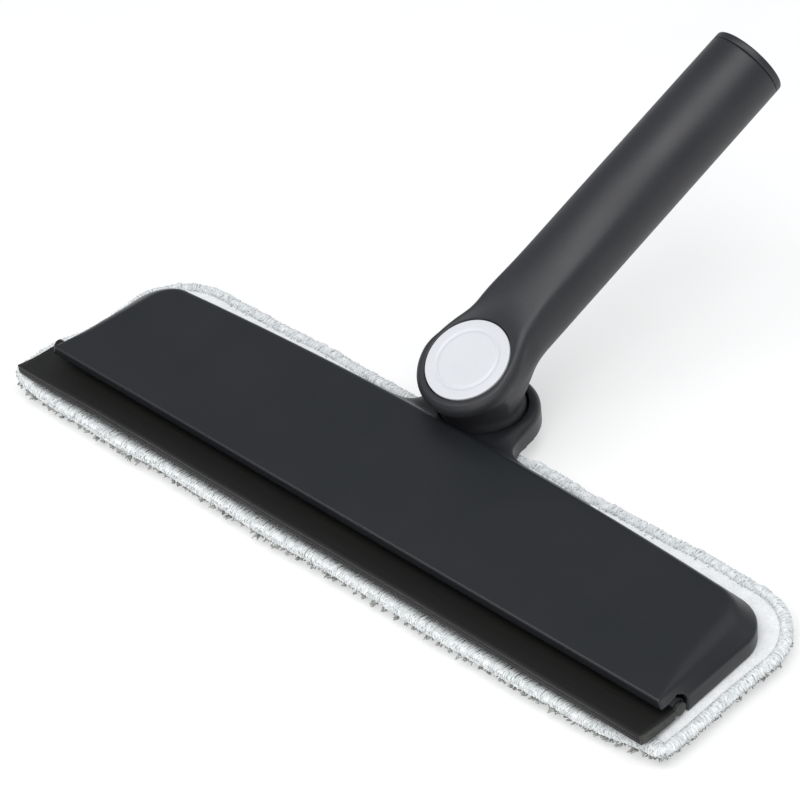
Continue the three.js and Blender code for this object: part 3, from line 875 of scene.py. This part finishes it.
def build_pile():
    """Microfibre pile: a backing slab with tufts under it and a ragged fringe round its edge."""
    heap = Heap()
    slab = []
    outline, normals, _ = rounded_outline(4.2, 1.6)
    for inset, z in ((1.2, -3.95), (0.0, -4.5), (0.4, -6.2), (1.8, -6.8)):
        slab.append(np.column_stack([outline - normals * inset, np.full(len(outline), z)]))
    points, faces = sweep(slab[::-1])
    count = len(outline)
    faces += [tuple(range(count))[::-1], tuple(range(len(points) - count, len(points)))]
    heap.put(list(points), faces)

    for x in np.arange(-143, 144, 3.0):
        for y in np.arange(-7.5, 65, 2.8):
            reach_x = abs(x) - (PAD_HALF - REAR_CORNER)
            reach_y = y - (PAD_BACK - REAR_CORNER)
            if reach_x > 0 and reach_y > 0 and math.hypot(reach_x, reach_y) > REAR_CORNER - 6:
                continue
            root = np.array([x, y, -6.4]) + [*rng.uniform(-0.9, 0.9, 2), 0]
            lean = np.array([*rng.uniform(-1, 1, 2), -0.45])
            length, thick = rng.uniform(1.6, 2.6), rng.uniform(0.75, 1.05)
            heap.put(*tuft(root, lean, length, thick, np.array([0, 0, -0.15])))

    edge, out, _ = rounded_outline(0.0, 0.6)
    count = len(edge)
    for place, direction in zip(edge, out):
        root = np.array([*(place - direction * rng.uniform(1.9, 2.6)), rng.uniform(-3.6, -3.1)])
        flat = direction * rng.uniform(0.3, 0.9) + rng.uniform(-0.6, 0.6, 2)
        heading = np.array([*flat, rng.uniform(-0.9, -0.2)])
        length, thick = rng.uniform(0.6, 1.3), rng.uniform(0.35, 0.55)
        curl = rng.uniform(-0.4, 0.4, 3) * [1, 1, 0.3]
        heap.put(*tuft(root, heading, length, thick, curl))

    step = 0.0
    while step < count:
        place, direction = edge[int(step) % count], out[int(step) % count]
        side = direction[0] > 0.5
        length = rng.uniform(0.4, 1.2) if side else rng.uniform(0.8, 2.3)
        bias = np.array([-0.7, 0.0]) + rng.uniform(-0.4, 0.4, 2)
        for _ in range(rng.integers(6, 13)):
            root = np.array([*(place - direction * 1.7), -3.3]) + rng.uniform(-0.8, 0.8, 3) * [1, 1, 0.5]
            flat = direction * rng.uniform(0.3, 0.9) + bias + rng.uniform(-0.35, 0.35, 2)
            heading = np.array([*flat, rng.uniform(-1.0, -0.4)])
            reach, thick = length * rng.uniform(0.6, 1.1), rng.uniform(0.32, 0.56)
            curl = rng.uniform(-0.5, 0.5, 3) * [1, 1, 0.3]
            heap.put(*tuft(root, heading, reach, thick, curl))
        step += rng.uniform(8, 22) if side else rng.uniform(2, 9)
    cloud = np.array(heap.points)
    cloud[:, 2] = np.maximum(cloud[:, 2], FLOOR + 0.05)
    piece = make_piece("pad_tufts", to_frame(soften(cloud)), heap.faces, PILE, "pad",
                       ["pad_pile"])


# ---------------------------------------------------------------- carried-over pieces
def finish_inner_pieces():
    """The shapes that the frame already has right only get their materials."""
    finishes = {
        "base_plate": INNER_PLASTIC, "hook_strip_front": HOOK_TAPE,
        "hook_strip_rear": HOOK_TAPE, "friction_ring": LINING, "thrust_washer": NATURAL_PLASTIC,
        "brake_plunger": STEEL, "spring_clip": STEEL, "release_spring": STEEL, "button_stem": INNER_PLASTIC,
    }
    finishes.update({name: STEEL for name in frame["nodes"] if name.startswith("base_screw")})
    for name, material in finishes.items():
        mesh = frame["nodes"][name].data
        mesh.materials.clear()
        mesh.materials.append(material)


# ---------------------------------------------------------------- stage
def build_floor():
    size = 6.0
    mesh = bpy.data.meshes.new("studio_floor")
    corners = [(-size, -size, 0), (size, -size, 0), (size, size, 0), (-size, size, 0)]
    mesh.from_pydata(corners, [], [(0, 1, 2, 3)])
    material, tree, shader, coords = new_material("studio_paper")
    paper = noise(tree, coords, 60, 2.0)
    tone = ramp(tree, paper, (0.3, (0.55, 0.55, 0.55)), (0.7, (0.57, 0.57, 0.57)))
    tree.links.new(tone, shader.inputs["Base Color"])
    shader.inputs["Roughness"].default_value = 0.9
    shader.inputs["Specular IOR Level"].default_value = 0.1
    shader.inputs["Emission Color"].default_value = (1, 1, 1, 1)
    shader.inputs["Emission Strength"].default_value = 0.42
    mesh.materials.append(material)
    floor = bpy.data.objects.new("studio_floor", mesh)
    bpy.context.scene.collection.objects.link(floor)


def add_softbox(name, place, aim, size, power, colour=(1, 1, 1)):
    data = bpy.data.lights.new(name, "AREA")
    data.shape = "RECTANGLE"
    data.size, data.size_y = size
    data.energy = power
    data.color = colour
    light = bpy.data.objects.new(name, data)
    light.location = place
    light.rotation_euler = (Vector(aim) - Vector(place)).to_track_quat("-Z", "Y").to_euler()
    bpy.context.scene.collection.objects.link(light)


def build_lights():
    world = bpy.data.worlds.new("studio")
    bpy.context.scene.world = world
    world.use_nodes = True
    background = world.node_tree.nodes["Background"]
    background.inputs["Color"].default_value = (0.93, 0.96, 1.0, 1)
    background.inputs["Strength"].default_value = 0.40
    add_softbox("key_softbox", (0.45, -0.35, 1.5), (0, 0.05, 0), (1.3, 1.3), 18.0)
    add_softbox("left_softbox", (-0.5, -0.75, 1.1), (0, 0.03, 0.02), (0.7, 0.7), 5.0)
    add_softbox("back_softbox", (0.7, 1.1, 1.0), (0, 0.03, 0.02), (0.6, 0.6), 1.3)
    add_softbox("front_softbox", (0.7, -1.2, 0.45), (0, 0, 0), (0.8, 0.5), 4.5, (1.0, 0.98, 0.95))
    view = bpy.context.scene.view_settings
    view.view_transform = "Standard"
    view.look = "None"


def build_camera():
    """Long lens from the front right, about 40 degrees above the table."""
    azimuth, elevation, roll = math.radians(47.57), math.radians(40.31), math.radians(6.48)
    data = bpy.data.cameras.new("camera")
    data.sensor_width = 36
    data.lens = 141.5
    data.clip_start = 0.01
    camera = bpy.data.objects.new("camera", data)
    level = math.cos(elevation)
    back = Vector((math.sin(azimuth) * level, -math.cos(azimuth) * level, math.sin(elevation)))
    facing = back.to_track_quat("Z", "Y").to_matrix().to_4x4()
    camera.matrix_world = facing @ Matrix.Rotation(-roll, 4, "Z")
    camera.location = to_frame([586.64, -500.93, 710.89])
    bpy.context.scene.collection.objects.link(camera)
    bpy.context.scene.camera = camera


build_camera()
build_head()
build_blade()
build_handle()
build_end_plug()
build_button()
build_pad_top()
build_hem()
build_pile()
finish_inner_pieces()
build_floor()
build_lights()
